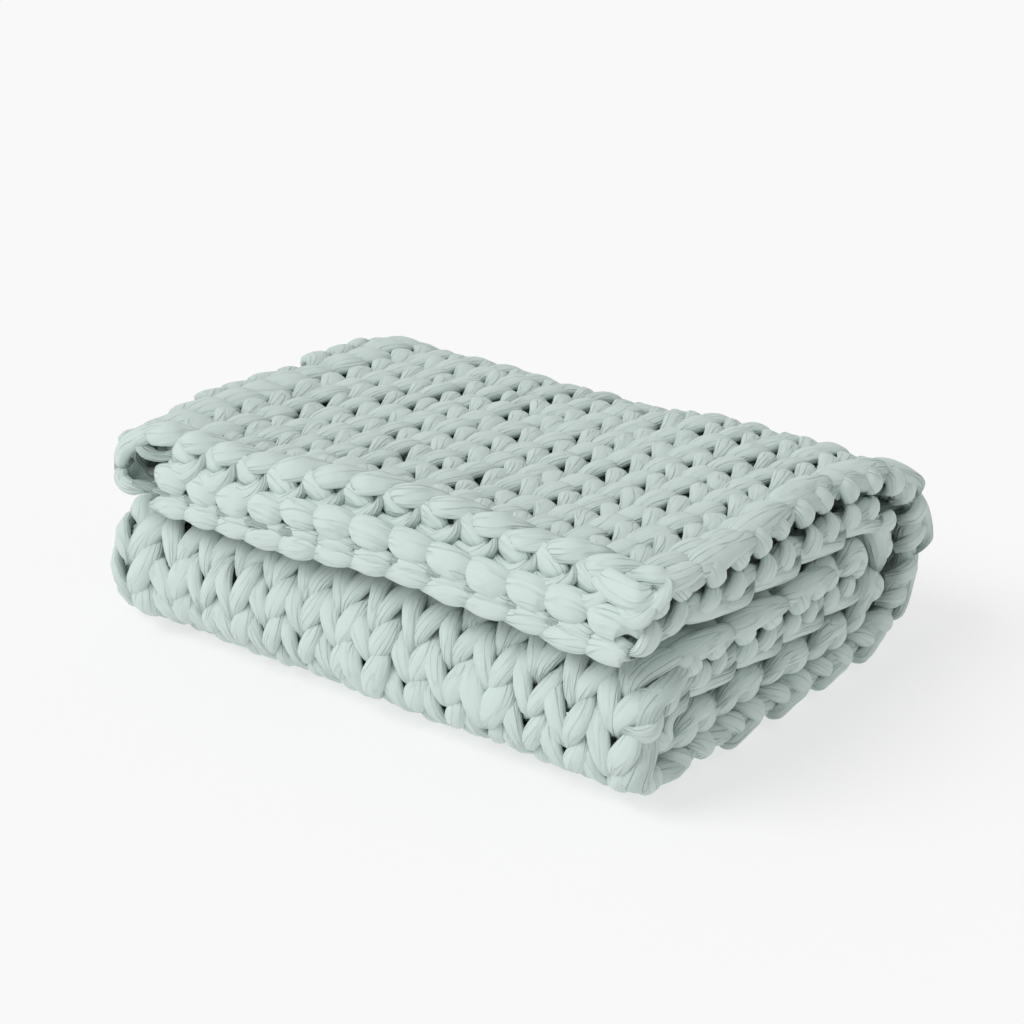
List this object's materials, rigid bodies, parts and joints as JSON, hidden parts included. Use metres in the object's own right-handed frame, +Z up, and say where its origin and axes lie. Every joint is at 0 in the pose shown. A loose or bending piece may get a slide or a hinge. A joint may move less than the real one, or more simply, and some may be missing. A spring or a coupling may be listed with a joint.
{
  "type": "weighted blanket",
  "caption": "Chunky hand-knitted weighted blanket in pale sage green, folded in half and then rolled up flat into a soft layered bundle.",
  "frame": {"origin": "on the floor under the middle of the folded bundle", "axes": "+X along the folds towards the selvages, -Y towards the two open lips, +Z up"},
  "size_m": [0.65, 0.4964, 0.2192],
  "materials": {
    "cotton_jersey": "matt knitted cotton tube yarn"
  },
  "bodies": {
    "root": {"blanket": "cotton_jersey"}
  },
  "joints": []
}
